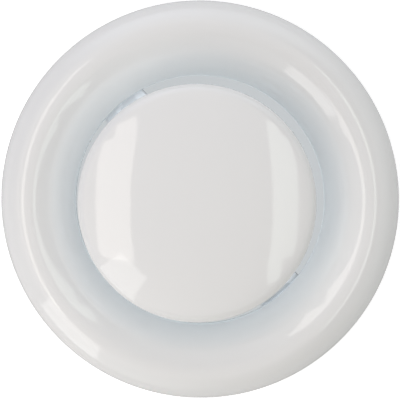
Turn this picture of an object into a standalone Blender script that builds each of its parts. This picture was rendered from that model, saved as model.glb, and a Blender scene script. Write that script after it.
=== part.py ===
# Round air outlet: an adjustable disc valve for a 125 mm ventilation duct.
# It stands face up on the rear end of its mounting sleeve, axis along +Z, origin at the centre
# of the sleeve's rear end. X runs along the bridge. Units are metres.
from math import asin, atan2, cos, pi, radians, sin, sqrt

import bmesh
import bpy
from mathutils import Matrix, Vector

# Clearances
SEAT_GAP = 0.0003          # between two pieces that touch
SLIDE_GAP = 0.0004         # round a bayonet pin in its slot
INSERT_GAP = 0.003         # from the neck to the sleeve it goes into

# Front ring
SHEET = 0.001              # pressed steel of the ring, neck, disc and sleeve
THROAT_RADIUS = 0.0512     # narrowest place of the ring
FACE_WIDTH = 0.0308        # throat edge to outer edge
EDGE_RADIUS = 0.0117       # outer quarter round
CREST_RADIUS = 0.011       # inner side of the crest
CREST_LEAN = radians(12)   # where the bell takes over from the crest
BELL_RADIUS = 0.031        # round of the bell that falls to the throat
LIP_BEND = 0.0025          # from the bell into the lip
LIP_DEPTH = 0.0022         # cylindrical lip behind the throat edge
HEM_WIDTH = 0.0022         # turned-in outer edge
HEM_BEND = 0.0012
RIM_LIFT = 0.0005          # outer edge above the wall, left by the gasket

# Neck
NECK_STEP = 0.0053         # throat edge to the neck's inner face
NECK_DEPTH = 0.032         # behind the wall face
FLARE_SHARE = 0.7          # of the bell's back, from the neck to the crest

# Gasket
GASKET_OUTSET = 0.0032     # crest line to the gasket's inner side
HEM_CLEARANCE = 0.0004

# Mounting sleeve
SLEEVE_DEPTH = 0.055       # rear end to wall face
SLEEVE_BEND = 0.0018
FLANGE_CLEARANCE = 0.0015  # flange edge to gasket
SCREW_HOLE_RADIUS = 0.00225
SCREW_HOLE_COUNT = 4
BEAD_HEIGHT = 0.0012
BEAD_HALF_WIDTH = 0.0022
BEAD_CROWN = 0.35          # share of the bead's width that is flat
SEAL_MIDDLE = 0.0125       # above the rear end
SEAL_WIDTH = 0.0068
SEAL_BAND = 0.001
SEAL_LIP = 0.0017
SEAL_SHARES = (0.5, 0.75, 0.9)  # of a lip's pitch: its root's top, its tip and its heel
SEAL_HEEL_INSET = 0.0003

# Bayonet
PIN_COUNT = 3
PIN_RADIUS = 0.003
PIN_DEPTH = 0.018          # behind the wall face
PIN_SHANK_RADIUS = 0.002
HEAD_HEIGHT = 0.001
PIN_INSET = 0.0002         # pin's tip inside the sleeve's outer face
TWIST = radians(20)        # locked to free
PIN_START = radians(90)

# Bridge
BRIDGE_WIDTH = 0.020
BRIDGE_SHEET = 0.002
BRIDGE_DEPTH = 0.014       # front face of the strap behind the wall face
BRIDGE_BEND = 0.003
LEG_HEIGHT = 0.011
RIVET_RADIUS = 0.002
RIVET_HEAD_RADIUS = 0.0035
HEAD_CROWN = ((0.55, 1.0), (0.9, 0.5))  # shares of a rivet head's radius and height
RIVET_SPACING = 0.010
RIVET_HEIGHT = 0.006       # rivet line above the strap's front face

# Spindle and nuts
SPINDLE_RADIUS = 0.004
SPINDLE_TAIL = 0.0145      # behind the strap's front face
SPINDLE_CHAMFER = 0.0008
SPINDLE_HEAD = 0.0042
HEX_WIDTH = 0.013          # across flats
NUT_HEIGHT = 0.0065
LOCK_NUT_HEIGHT = 0.005
WASHER_RADIUS = 0.008
WASHER_HEIGHT = 0.0014

# Disc
DISC_RADIUS = 0.0486
DISC_OPENING = 0.022       # disc edge in front of the wall face, as set in the photo
DISC_HEIGHT = 0.013
DOME_RADIUS = 0.187
SHOULDER_RADIUS = 0.006
DISC_HEM = 0.0018
DISC_BEND = 0.0012
STIFFENER_RADIUS = 0.024
STIFFENER_CUP = 0.0125
STIFFENER_SHEET = 0.0012
STIFFENER_DRAFT = 0.003

SEGMENTS = 48
SMALL_SEGMENTS = 12

# Worked out from the above
neck_inner = THROAT_RADIUS + NECK_STEP
neck_outer = neck_inner + SHEET
ring_radius = THROAT_RADIUS + FACE_WIDTH
crest = ring_radius - EDGE_RADIUS
sleeve_inner = neck_outer + INSERT_GAP
sleeve_outer = sleeve_inner + SHEET
wall_z = SLEEVE_DEPTH
rim_z = wall_z + RIM_LIFT
crest_centre_z = rim_z + EDGE_RADIUS - CREST_RADIUS
# The bell leaves the crest's round and meets the lip's bend without a corner.
bell_start = crest - CREST_RADIUS * sin(CREST_LEAN)
bell_centre = bell_start + BELL_RADIUS * sin(CREST_LEAN)
bell_centre_z = crest_centre_z + (CREST_RADIUS - BELL_RADIUS) * cos(CREST_LEAN)
lip_centre = THROAT_RADIUS + LIP_BEND
bell_lean = asin((bell_centre - lip_centre) / (BELL_RADIUS - LIP_BEND))
lip_centre_z = bell_centre_z + (BELL_RADIUS - LIP_BEND) * cos(bell_lean)
gasket_inner = crest + GASKET_OUTSET
gasket_outer = ring_radius - HEM_WIDTH - HEM_CLEARANCE
flange_radius = gasket_inner - FLANGE_CLEARANCE
pin_z = wall_z - PIN_DEPTH
strap_z = wall_z - BRIDGE_DEPTH
strap_back_z = strap_z - BRIDGE_SHEET
disc_z = wall_z + DISC_OPENING
disc_top_z = disc_z + DISC_HEIGHT
dome_centre_z = disc_top_z - DOME_RADIUS
head_top_z = disc_top_z - SHEET - SEAT_GAP
head_back_z = head_top_z - SPINDLE_HEAD
cup_z = head_back_z - SEAT_GAP
cup_back_z = cup_z - STIFFENER_SHEET
bore_radius = SPINDLE_RADIUS + SEAT_GAP


def clear_scene():
    for obj in list(bpy.data.objects):
        bpy.data.objects.remove(obj, do_unlink=True)


def make_material(name, colour, roughness, metallic=0.0):
    material = bpy.data.materials.new(name)
    material.use_nodes = True
    shader = material.node_tree.nodes["Principled BSDF"]
    shader.inputs["Base Color"].default_value = (*colour, 1.0)
    shader.inputs["Roughness"].default_value = roughness
    shader.inputs["Metallic"].default_value = metallic
    return material


def arc(centre_r, centre_z, radius, start, end, steps):
    """Points (r, z) on an arc, from angle start to end."""
    angles = [start + (end - start) * i / steps for i in range(steps + 1)]
    return [(centre_r + radius * cos(a), centre_z + radius * sin(a)) for a in angles]


def offset_path(path, distance):
    """The path moved to its left by distance, with mitred corners."""
    moved = []
    for i, (r, z) in enumerate(path):
        before = path[max(i - 1, 0)]
        after = path[min(i + 1, len(path) - 1)]
        first = Vector((r - before[0], z - before[1])) if i else None
        second = Vector((after[0] - r, after[1] - z)) if i < len(path) - 1 else None
        first = first or second
        second = second or first
        first.normalize()
        second.normalize()
        normal = Vector((-first.y - second.y, first.x + second.x)).normalized()
        stretch = 1 / max(normal.dot(Vector((-first.y, first.x))), 0.5)
        moved.append((r + normal.x * distance * stretch, z + normal.y * distance * stretch))
    return moved


def sheet_outline(path, thickness):
    """A closed outline of a sheet whose one face is the path and whose other is to its left."""
    return path + offset_path(path, thickness)[::-1]


def finish_mesh(name, bm, material, sharp=radians(35)):
    bmesh.ops.remove_doubles(bm, verts=bm.verts, dist=1e-6)
    bmesh.ops.recalc_face_normals(bm, faces=bm.faces)
    mesh = bpy.data.meshes.new(name)
    bm.to_mesh(mesh)
    bm.free()
    mesh.shade_smooth()
    mesh.set_sharp_from_angle(angle=sharp)
    mesh.materials.append(material)
    obj = bpy.data.objects.new(name, mesh)
    bpy.context.scene.collection.objects.link(obj)
    return obj


def turned(name, outline, material, segments=SEGMENTS):
    """A body of revolution about Z. The outline is closed, or ends on the axis at both ends."""
    bm = bmesh.new()
    verts = [bm.verts.new((r, 0, z)) for r, z in outline]
    pairs = list(zip(verts, verts[1:]))
    if outline[0][0] > 0:
        pairs.append((verts[-1], verts[0]))
    edges = [bm.edges.new(pair) for pair in pairs]
    bmesh.ops.spin(
        bm, geom=verts + edges, cent=(0, 0, 0), axis=(0, 0, 1), angle=2 * pi,
        steps=segments, use_merge=True,
    )
    return finish_mesh(name, bm, material)


def prism(name, corners, low, high, material, bore=0.0):
    """An upright prism over the corners (x, y), with a round bore through it."""
    bm = bmesh.new()
    outer = [bm.verts.new((x, y, low)) for x, y in corners]
    loops = [outer]
    if bore:
        loops.append([
            bm.verts.new((bore * cos(a), bore * sin(a), low))
            for a in (2 * pi * i / SMALL_SEGMENTS for i in range(SMALL_SEGMENTS))
        ])
    edges = [
        bm.edges.new((loop[i - 1], loop[i])) for loop in loops for i in range(len(loop))
    ]
    bmesh.ops.triangle_fill(bm, use_beauty=True, edges=edges)
    base = list(bm.faces)
    raised = bmesh.ops.extrude_face_region(bm, geom=base, use_keep_orig=True)
    top = [v for v in raised["geom"] if isinstance(v, bmesh.types.BMVert)]
    bmesh.ops.translate(bm, verts=top, vec=(0, 0, high - low))
    return finish_mesh(name, bm, material)


def hexagon(width):
    radius = width / 2 / cos(pi / 6)
    return [(radius * cos(pi * i / 3), radius * sin(pi * i / 3)) for i in range(6)]


def radial_place(angle, z):
    """Turns a body made about Z so that its axis points outwards at this angle and height."""
    turn = Matrix.Rotation(angle, 4, "Z") @ Matrix.Rotation(pi / 2, 4, "Y")
    return Matrix.Translation((0, 0, z)) @ turn


def join_cutters(name, pieces):
    """One hidden cutter from several bodies that stand apart. Takes (object, matrix) pairs."""
    bm = bmesh.new()
    for obj, matrix in pieces:
        obj.data.transform(matrix)
        bm.from_mesh(obj.data)
        bpy.data.objects.remove(obj, do_unlink=True)
    cutter = finish_mesh(name, bm, make_material(name, (0.5, 0.5, 0.5), 0.5))
    cutter.hide_render = True
    cutter.display_type = "WIRE"
    return cutter


def cut(obj, cutter):
    modifier = obj.modifiers.new(cutter.name, "BOOLEAN")
    modifier.operation = "DIFFERENCE"
    modifier.object = cutter
    modifier.solver = "EXACT"


def sector_block(name, radii, heights, angles, steps, material):
    """A block bounded by two radii, two heights and two angles."""
    bm = bmesh.new()
    corners = [(r, z) for r in radii for z in heights]
    order = [0, 1, 3, 2]
    rows = []
    for i in range(steps + 1):
        a = angles[0] + (angles[1] - angles[0]) * i / steps
        rows.append([
            bm.verts.new((corners[j][0] * cos(a), corners[j][0] * sin(a), corners[j][1]))
            for j in order
        ])
    for row, following in zip(rows, rows[1:]):
        for j in range(4):
            bm.faces.new((row[j - 1], row[j], following[j], following[j - 1]))
    bm.faces.new(rows[0])
    bm.faces.new(rows[-1])
    return finish_mesh(name, bm, material)


def build_front_ring(material):
    path = [(ring_radius - HEM_WIDTH, rim_z)]
    path += arc(ring_radius - HEM_BEND, rim_z + HEM_BEND, HEM_BEND, -pi / 2, 0, 2)
    path += arc(crest, rim_z, EDGE_RADIUS, 2 * asin(HEM_BEND / EDGE_RADIUS), pi / 2, 6)
    crest_end = pi / 2 + CREST_LEAN
    path += arc(crest, crest_centre_z, CREST_RADIUS, pi / 2, crest_end, 1)[1:]
    bell_end = pi / 2 + bell_lean
    path += arc(bell_centre, bell_centre_z, BELL_RADIUS, crest_end, bell_end, 5)[1:]
    path += arc(lip_centre, lip_centre_z, LIP_BEND, bell_end, pi, 2)[1:]
    path.append((THROAT_RADIUS, lip_centre_z - LIP_DEPTH))
    return turned("front_ring", sheet_outline(path, SHEET), material)


def build_gasket(material):
    under = EDGE_RADIUS - SHEET - SEAT_GAP
    top = arc(
        crest, rim_z, under,
        atan2(sqrt(under**2 - (gasket_outer - crest)**2), gasket_outer - crest),
        atan2(sqrt(under**2 - (gasket_inner - crest)**2), gasket_inner - crest), 3,
    )
    outline = [(gasket_inner, wall_z), (gasket_outer, wall_z)] + top
    return turned("gasket", outline, material)


def build_neck(material):
    back = BELL_RADIUS - SHEET - SEAT_GAP
    flare_end = neck_inner + FLARE_SHARE * (bell_start - neck_inner)
    rear_z = wall_z - NECK_DEPTH
    path = [(neck_inner - SHEET, rear_z), (neck_inner, rear_z + SHEET)]
    path += arc(
        bell_centre, bell_centre_z, back,
        pi / 2 + asin((bell_centre - neck_inner) / back),
        pi / 2 + asin((bell_centre - flare_end) / back), 2,
    )
    neck = turned("neck", sheet_outline(path, -SHEET), material)
    cut(neck, hole_cutter("neck_holes"))
    return neck


def rivet_angles():
    """Two rivets through each leg of the bridge, either side of its middle."""
    half = asin(RIVET_SPACING / 2 / neck_inner)
    return [side + turn for side in (0, pi) for turn in (-half, half)]


def pin_angles():
    return [PIN_START + 2 * pi * i / PIN_COUNT for i in range(PIN_COUNT)]


def hole_cutter(name):
    """The rivet and pin holes through the neck, and through the bridge's legs."""
    grey = make_material(name + "_grey", (0.5, 0.5, 0.5), 0.5)
    reach = (neck_inner - 3 * BRIDGE_SHEET, neck_outer + BRIDGE_SHEET)
    pieces = []
    for angle in rivet_angles():
        hole = RIVET_RADIUS + SEAT_GAP
        outline = [(0, reach[0]), (hole, reach[0]), (hole, reach[1]), (0, reach[1])]
        body = turned("hole", outline, grey, SMALL_SEGMENTS)
        pieces.append((body, radial_place(angle, strap_z + RIVET_HEIGHT)))
    for angle in pin_angles():
        hole = PIN_SHANK_RADIUS + SEAT_GAP
        outline = [(0, reach[0]), (hole, reach[0]), (hole, reach[1]), (0, reach[1])]
        body = turned("hole", outline, grey, SMALL_SEGMENTS)
        pieces.append((body, radial_place(angle, pin_z)))
    return join_cutters(name, pieces)


def build_bayonet_pins(material):
    tip = sleeve_outer - PIN_INSET
    inner = neck_inner - SEAT_GAP
    outer = neck_outer + SEAT_GAP
    outline = [
        (0, inner - HEAD_HEIGHT), (PIN_RADIUS, inner - HEAD_HEIGHT), (PIN_RADIUS, inner),
        (PIN_SHANK_RADIUS, inner), (PIN_SHANK_RADIUS, outer), (PIN_RADIUS, outer),
        (PIN_RADIUS, tip), (0, tip),
    ]
    for i, angle in enumerate(pin_angles()):
        pin = turned(f"bayonet_pin_{i + 1}", outline, material, SMALL_SEGMENTS)
        pin.matrix_world = radial_place(angle, pin_z)


def build_bridge_rivets(material):
    leg_inner = neck_inner - SEAT_GAP - BRIDGE_SHEET
    inner = leg_inner - SEAT_GAP
    outer = neck_outer + SEAT_GAP
    head = RIVET_HEAD_RADIUS
    crown = [(share * head, height * HEAD_HEIGHT) for share, height in HEAD_CROWN]
    outline = [(0, inner - HEAD_HEIGHT)]
    outline += [(r, inner - height) for r, height in crown]
    outline += [(head, inner), (RIVET_RADIUS, inner), (RIVET_RADIUS, outer), (head, outer)]
    outline += [(r, outer + height) for r, height in reversed(crown)]
    outline.append((0, outer + HEAD_HEIGHT))
    for i, angle in enumerate(rivet_angles()):
        rivet = turned(f"bridge_rivet_{i + 1}", outline, material, SMALL_SEGMENTS)
        rivet.matrix_world = radial_place(angle, strap_z + RIVET_HEIGHT)


def build_bridge(material):
    """A strap bent up at both ends, its legs pressed to the round of the neck."""
    leg_radius = neck_inner - SEAT_GAP
    bend_x = leg_radius - BRIDGE_SHEET - BRIDGE_BEND
    leg_top = strap_z + LEG_HEIGHT
    right = arc(bend_x, strap_z + BRIDGE_BEND, BRIDGE_BEND, -pi / 2, 0, 4)
    right.append((leg_radius - BRIDGE_SHEET, leg_top))
    path = [(-x, z) for x, z in reversed(right)] + right
    outline = sheet_outline(path, -BRIDGE_SHEET)
    half = BRIDGE_WIDTH / 2
    stations = [half * i / 3 for i in range(-3, 4)]
    flat_end = bend_x - BRIDGE_BEND
    bm = bmesh.new()
    rows = []
    for y in stations:
        sag = leg_radius - sqrt(leg_radius**2 - y**2)
        row = []
        for x, z in outline:
            share = min(max((abs(x) - flat_end) / (leg_radius - BRIDGE_SHEET - flat_end), 0), 1)
            shift = -sag * share if x > 0 else sag * share
            row.append(bm.verts.new((x + shift, y, z)))
        rows.append(row)
    count = len(outline)
    for row, following in zip(rows, rows[1:]):
        for j in range(count):
            bm.faces.new((row[j - 1], row[j], following[j], following[j - 1]))
    half_count = count // 2
    for row in (rows[0], rows[-1]):
        for j in range(half_count - 1):
            bm.faces.new((row[j], row[j + 1], row[count - 2 - j], row[count - 1 - j]))
    bridge = finish_mesh("bridge", bm, material)
    cut(bridge, hole_cutter("bridge_holes"))
    depth = 3 * BRIDGE_SHEET
    outline = [(0, 0), (bore_radius, 0), (bore_radius, depth), (0, depth)]
    grey = make_material("bridge_bore_grey", (0.5, 0.5, 0.5), 0.5)
    bore = turned("bore", outline, grey, SMALL_SEGMENTS)
    place = Matrix.Translation((0, 0, strap_back_z - BRIDGE_SHEET))
    cut(bridge, join_cutters("bridge_bore", [(bore, place)]))
    return bridge


def build_nuts(materials):
    low = strap_z + SEAT_GAP
    prism("bridge_nut", hexagon(HEX_WIDTH), low, low + NUT_HEIGHT, materials["zinc"], bore_radius)
    high = strap_back_z - SEAT_GAP
    washer_low = high - WASHER_HEIGHT
    outline = [
        (bore_radius, washer_low), (WASHER_RADIUS, washer_low), (WASHER_RADIUS, high),
        (bore_radius, high),
    ]
    turned("lock_washer", outline, materials["zinc"], SMALL_SEGMENTS * 2)
    high = washer_low - SEAT_GAP
    low = high - LOCK_NUT_HEIGHT
    prism("lock_nut", hexagon(HEX_WIDTH), low, high, materials["zinc"], bore_radius)
    high = cup_back_z - SEAT_GAP
    low = high - LOCK_NUT_HEIGHT
    prism("disc_nut", hexagon(HEX_WIDTH), low, high, materials["zinc"], bore_radius)


def build_spindle(material):
    """A hexagon-headed bolt with its head caught in the disc's stiffener."""
    tail_z = strap_z - SPINDLE_TAIL
    bm = bmesh.new()
    outline = [
        (SPINDLE_RADIUS - SPINDLE_CHAMFER, tail_z), (SPINDLE_RADIUS, tail_z + SPINDLE_CHAMFER),
        (SPINDLE_RADIUS, head_back_z),
    ]
    rings = [
        [
            bm.verts.new((r * cos(a), r * sin(a), z))
            for a in (2 * pi * i / SMALL_SEGMENTS for i in range(SMALL_SEGMENTS))
        ]
        for r, z in outline
    ]
    for ring, following in zip(rings, rings[1:]):
        for i in range(SMALL_SEGMENTS):
            bm.faces.new((ring[i - 1], ring[i], following[i], following[i - 1]))
    bm.faces.new(rings[0])
    low = [bm.verts.new((x, y, head_back_z)) for x, y in hexagon(HEX_WIDTH)]
    high = [bm.verts.new((x, y, head_top_z)) for x, y in hexagon(HEX_WIDTH)]
    for i in range(6):
        bm.faces.new((low[i - 1], low[i], high[i], high[i - 1]))
    bm.faces.new(high)
    edges = [bm.edges.get((low[i - 1], low[i])) for i in range(6)]
    last = rings[-1]
    edges += [bm.edges.get((last[i - 1], last[i])) for i in range(SMALL_SEGMENTS)]
    bmesh.ops.triangle_fill(bm, use_beauty=True, edges=edges)
    return finish_mesh("spindle", bm, material)


def build_disc(material):
    shoulder_r = DISC_RADIUS - SHOULDER_RADIUS
    # The dome and the shoulder meet where their tangents agree.
    lean = asin(shoulder_r / (DOME_RADIUS - SHOULDER_RADIUS))
    shoulder_z = dome_centre_z + (DOME_RADIUS - SHOULDER_RADIUS) * cos(lean)
    path = [(DISC_RADIUS - DISC_HEM, disc_z)]
    path += arc(DISC_RADIUS - DISC_BEND, disc_z + DISC_BEND, DISC_BEND, -pi / 2, 0, 2)
    path += arc(shoulder_r, shoulder_z, SHOULDER_RADIUS, 0, pi / 2 - lean, 4)
    path += arc(0, dome_centre_z, DOME_RADIUS, pi / 2 - lean, pi / 2, 3)[1:]
    path[-1] = (0, disc_top_z)
    inner = offset_path(path, SHEET)
    inner[-1] = (0, disc_top_z - SHEET)
    # The first and last points lie on the axis, so the outline runs from inside to outside.
    return turned("disc", inner[::-1] + path, material)


def build_disc_stiffener(material):
    under = DOME_RADIUS - SHEET - SEAT_GAP
    brim = STIFFENER_CUP + STIFFENER_DRAFT
    path = arc(
        0, dome_centre_z, under, pi / 2 - asin(STIFFENER_RADIUS / under),
        pi / 2 - asin(brim / under), 2,
    )
    path += [(STIFFENER_CUP, cup_z), (bore_radius, cup_z)]
    return turned("disc_stiffener", sheet_outline(path, STIFFENER_SHEET), material)


def slot_cutters():
    """An L-shaped bayonet slot for each pin: a round leg, and a leg open at the front."""
    grey = make_material("slot_grey", (0.5, 0.5, 0.5), 0.5)
    half = PIN_RADIUS + SLIDE_GAP
    spread = asin(half / sleeve_inner)
    radii = (sleeve_inner - SHEET, sleeve_outer + 2 * SHEET)
    round_legs = []
    entry_legs = []
    for angle in pin_angles():
        round_legs.append((
            sector_block(
                "leg", radii, (pin_z - half, pin_z + half), (angle - spread, angle + TWIST), 6, grey
            ),
            Matrix.Identity(4),
        ))
        entry_legs.append((
            sector_block(
                "leg", radii, (pin_z - half, wall_z + 2 * SHEET),
                (angle + TWIST - spread, angle + TWIST + spread), 2, grey,
            ),
            Matrix.Identity(4),
        ))
    return join_cutters("round_legs", round_legs), join_cutters("entry_legs", entry_legs)


def build_mounting_sleeve(material):
    top = wall_z + SHEET
    path = [(sleeve_inner, 0)]
    for middle in (SEAL_MIDDLE - SEAL_WIDTH / 2, SEAL_MIDDLE + SEAL_WIDTH / 2):
        away = BEAD_HALF_WIDTH if middle > SEAL_MIDDLE else -BEAD_HALF_WIDTH
        centre = middle + away
        path += [
            (sleeve_inner, centre - BEAD_HALF_WIDTH),
            (sleeve_inner + BEAD_HEIGHT, centre - BEAD_HALF_WIDTH * BEAD_CROWN),
            (sleeve_inner + BEAD_HEIGHT, centre + BEAD_HALF_WIDTH * BEAD_CROWN),
            (sleeve_inner, centre + BEAD_HALF_WIDTH),
        ]
    path += arc(sleeve_inner + SLEEVE_BEND, top - SLEEVE_BEND, SLEEVE_BEND, pi, pi / 2, 3)
    path.append((flange_radius, top))
    sleeve = turned("mounting_sleeve", sheet_outline(path, -SHEET), material)
    for cutter in slot_cutters():
        cut(sleeve, cutter)
    grey = make_material("screw_grey", (0.5, 0.5, 0.5), 0.5)
    hole = SCREW_HOLE_RADIUS
    outline = [(0, -SHEET), (hole, -SHEET), (hole, 2 * SHEET), (0, 2 * SHEET)]
    middle = (sleeve_outer + SLEEVE_BEND + flange_radius) / 2
    holes = []
    for i in range(SCREW_HOLE_COUNT):
        angle = 2 * pi * (i + 0.5) / SCREW_HOLE_COUNT
        place = Matrix.Translation((middle * cos(angle), middle * sin(angle), wall_z))
        holes.append((turned("hole", outline, grey, SMALL_SEGMENTS), place))
    cut(sleeve, join_cutters("screw_holes", holes))
    return sleeve


def build_duct_seal(material):
    """A rubber band between the sleeve's beads, with two lips that lean to the front."""
    inner = sleeve_outer + SEAT_GAP
    band = inner + SEAL_BAND
    tip = band + SEAL_LIP
    half = SEAL_WIDTH / 2 - SEAT_GAP * 2
    low = SEAL_MIDDLE - half
    high = SEAL_MIDDLE + half
    pitch = (high - low) / 2
    outline = [(inner, high), (inner, low)]
    root_top, tip_z, heel_z = (share * pitch for share in SEAL_SHARES)
    for root in (low, low + pitch):
        outline += [
            (band, root), (tip, root + tip_z), (tip - SEAL_HEEL_INSET, root + heel_z),
            (band, root + root_top),
        ]
    outline.append((band, high))
    return turned("duct_seal", outline, material)


def main():
    clear_scene()
    materials = {
        "enamel": make_material("white_enamel", (0.80, 0.80, 0.80), 0.22),
        "zinc": make_material("zinc_plate", (0.66, 0.68, 0.70), 0.35, 1.0),
        "galvanised": make_material("galvanised_steel", (0.60, 0.62, 0.64), 0.45, 1.0),
        "foam": make_material("grey_foam", (0.22, 0.22, 0.23), 0.95),
        "rubber": make_material("black_rubber", (0.03, 0.03, 0.03), 0.6),
    }
    build_front_ring(materials["enamel"])
    build_neck(materials["enamel"])
    build_gasket(materials["foam"])
    build_bridge(materials["galvanised"])
    build_bridge_rivets(materials["zinc"])
    build_bayonet_pins(materials["zinc"])
    build_nuts(materials)
    build_spindle(materials["zinc"])
    build_disc(materials["enamel"])
    build_disc_stiffener(materials["galvanised"])
    build_mounting_sleeve(materials["galvanised"])
    build_duct_seal(materials["rubber"])


main()
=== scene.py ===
# Round air outlet: the looks of a white disc valve for a 125 mm duct, seen face on.
# Lengths are in metres. Angles that are read in the picture turn anticlockwise from its right.
from math import asin, atan2, ceil, cos, pi, radians, sin, sqrt, tan

import bmesh
import bpy
from mathutils import Matrix, Vector


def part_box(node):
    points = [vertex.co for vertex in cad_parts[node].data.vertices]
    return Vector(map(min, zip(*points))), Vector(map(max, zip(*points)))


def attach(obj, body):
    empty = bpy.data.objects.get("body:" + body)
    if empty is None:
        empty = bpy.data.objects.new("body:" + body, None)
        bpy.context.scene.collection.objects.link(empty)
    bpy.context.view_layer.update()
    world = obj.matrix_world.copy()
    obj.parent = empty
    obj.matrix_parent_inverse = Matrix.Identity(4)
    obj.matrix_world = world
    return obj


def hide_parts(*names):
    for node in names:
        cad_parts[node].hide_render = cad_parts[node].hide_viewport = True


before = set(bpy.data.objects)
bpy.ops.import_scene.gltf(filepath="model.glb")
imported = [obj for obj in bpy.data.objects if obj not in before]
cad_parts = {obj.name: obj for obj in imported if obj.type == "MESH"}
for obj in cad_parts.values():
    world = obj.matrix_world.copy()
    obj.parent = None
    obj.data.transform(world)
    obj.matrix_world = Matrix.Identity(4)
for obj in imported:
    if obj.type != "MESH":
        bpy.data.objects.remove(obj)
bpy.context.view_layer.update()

scene = bpy.context.scene

picture = {
    "size": 400,              # pixels
    "pixelsPerMetre": 2425.5,
    "bridgeTurn": 130,        # the bridge's direction in the picture
    "tilt": 4.6,              # degrees off the valve's axis
    "tiltToward": 53.5,
    "distance": 1.6,
    "aimRight": 0.00009,
    "aimUp": -0.00023,
    "sensor": 36,             # millimetres
    "clipEnd": 30,
}
fit = {
    "sheet": 0.001,
    "strap": 0.002,           # the bridge's sheet
    "bore": 0.0043,           # round the spindle
    "gap": 0.0003,            # between pieces that touch
    "faceSteps": 256,         # steps in a turn, for the ring and the disc
    "turnSteps": 192,
    "smallSteps": 48,
    "sweepRadius": 0.02,      # of the circle that a profile is swept along
}


# The row frame's angle for an angle read in the picture.
def pictureAngle(degrees):
    return radians(degrees - picture["bridgeTurn"])


# Unit vector at a polar angle off +Z, towards a picture angle.
def towards(polar, turn):
    a = pictureAngle(turn)
    return Vector((sin(radians(polar)) * cos(a), sin(radians(polar)) * sin(a), cos(radians(polar))))


# Materials
def newMaterial(name):
    material = bpy.data.materials.new(name)
    material.use_nodes = True
    tree = material.node_tree
    return material, tree, tree.nodes["Principled BSDF"]


def addNode(tree, kind, **values):
    node = tree.nodes.new(kind)
    for key, value in values.items():
        if hasattr(node, key):
            setattr(node, key, value)
        else:
            node.inputs[key.replace("_", " ")].default_value = value
    return node


# Feeds a socket with a plain number or from another node.
def feed(tree, socket, value):
    if isinstance(value, (int, float)):
        socket.default_value = value
    else:
        tree.links.new(value, socket)


# Feeds a shader's inputs, named with _ for a space.
def feedShader(tree, shader, **inputs):
    for name, value in inputs.items():
        feed(tree, shader.inputs[name.replace("_", " ")], value)


# A texture in the piece's own coordinates.
def textureOf(tree, kind, **values):
    node = addNode(tree, "ShaderNodeTex" + kind, **values)
    where = addNode(tree, "ShaderNodeTexCoord").outputs["Object"]
    tree.links.new(where, node.inputs["Vector"])
    return node


def colourRamp(tree, source, stops):
    ramp = tree.nodes.new("ShaderNodeValToRGB")
    while len(ramp.color_ramp.elements) < len(stops):
        ramp.color_ramp.elements.new(0.5)
    for element, (place, colour) in zip(ramp.color_ramp.elements, stops):
        element.position = place
        element.color = (*colour, 1)
    tree.links.new(source, ramp.inputs["Fac"])
    return ramp.outputs["Color"]


def rangeOf(tree, source, low, high):
    node = addNode(tree, "ShaderNodeMapRange", To_Min=low, To_Max=high)
    tree.links.new(source, node.inputs["Value"])
    return node.outputs["Result"]


def bumpFrom(tree, height, strength, distance, below=None):
    bump = addNode(tree, "ShaderNodeBump", Strength=strength, Distance=distance)
    tree.links.new(height, bump.inputs["Height"])
    if below:
        tree.links.new(below, bump.inputs["Normal"])
    return bump.outputs["Normal"]


def makeEnamel():
    look = {
        "white": (0.900, 0.897, 0.892),
        "shade": (0.890, 0.889, 0.886),
        "cloudScale": 22.0,
        "peelScale": 520.0,
        "grainScale": 3200.0,
        "roughness": (0.04, 0.06),
        "peel": (0.05, 0.0002),   # a bump's strength and distance
        "grain": (0.02, 0.00003),
        "ior": 1.7,
    }
    material, tree, shader = newMaterial("glossEnamel")
    cloud = textureOf(tree, "Noise", Scale=look["cloudScale"], Detail=3.0).outputs["Fac"]
    peel = textureOf(tree, "Noise", Scale=look["peelScale"], Detail=2.0, Roughness=0.4)
    grain = textureOf(tree, "Noise", Scale=look["grainScale"], Detail=1.0)
    wave = bumpFrom(tree, peel.outputs["Fac"], *look["peel"])
    feedShader(
        tree, shader, IOR=look["ior"], Roughness=rangeOf(tree, cloud, *look["roughness"]),
        Base_Color=colourRamp(tree, cloud, [(0.35, look["shade"]), (0.65, look["white"])]),
        Normal=bumpFrom(tree, grain.outputs["Fac"], *look["grain"], wave),
    )
    return material


def makeGalvanised():
    look = {
        "dark": (0.52, 0.535, 0.55),
        "pale": (0.68, 0.695, 0.71),
        "spangleScale": 230.0,
        "warpScale": 90.0,
        "warp": 0.012,            # the warp's share in the spangle's coordinates
        "fineScale": 1400.0,
        "roughness": (0.28, 0.48),
        "edges": (0.12, 0.0001),
        "fine": (0.15, 0.00004),
    }
    material, tree, shader = newMaterial("galvanisedSheet")
    warp = textureOf(tree, "Noise", Scale=look["warpScale"], Detail=2.0)
    mix = addNode(tree, "ShaderNodeMix", data_type="VECTOR")
    mix.inputs["Factor"].default_value = look["warp"]
    tree.links.new(addNode(tree, "ShaderNodeTexCoord").outputs["Object"], mix.inputs["A"])
    tree.links.new(warp.outputs["Color"], mix.inputs["B"])
    spangle = addNode(tree, "ShaderNodeTexVoronoi", Scale=look["spangleScale"], Randomness=1.0)
    tree.links.new(mix.outputs["Result"], spangle.inputs["Vector"])
    split = addNode(tree, "ShaderNodeSeparateColor")
    tree.links.new(spangle.outputs["Color"], split.inputs["Color"])
    fine = textureOf(tree, "Noise", Scale=look["fineScale"], Detail=2.0)
    edges = bumpFrom(tree, spangle.outputs["Distance"], *look["edges"])
    feedShader(
        tree, shader, Metallic=1.0,
        Base_Color=colourRamp(
            tree, split.outputs["Red"], [(0.0, look["dark"]), (1.0, look["pale"])]
        ),
        Roughness=rangeOf(tree, split.outputs["Green"], *look["roughness"]),
        Normal=bumpFrom(tree, fine.outputs["Fac"], *look["fine"], edges),
    )
    return material


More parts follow.
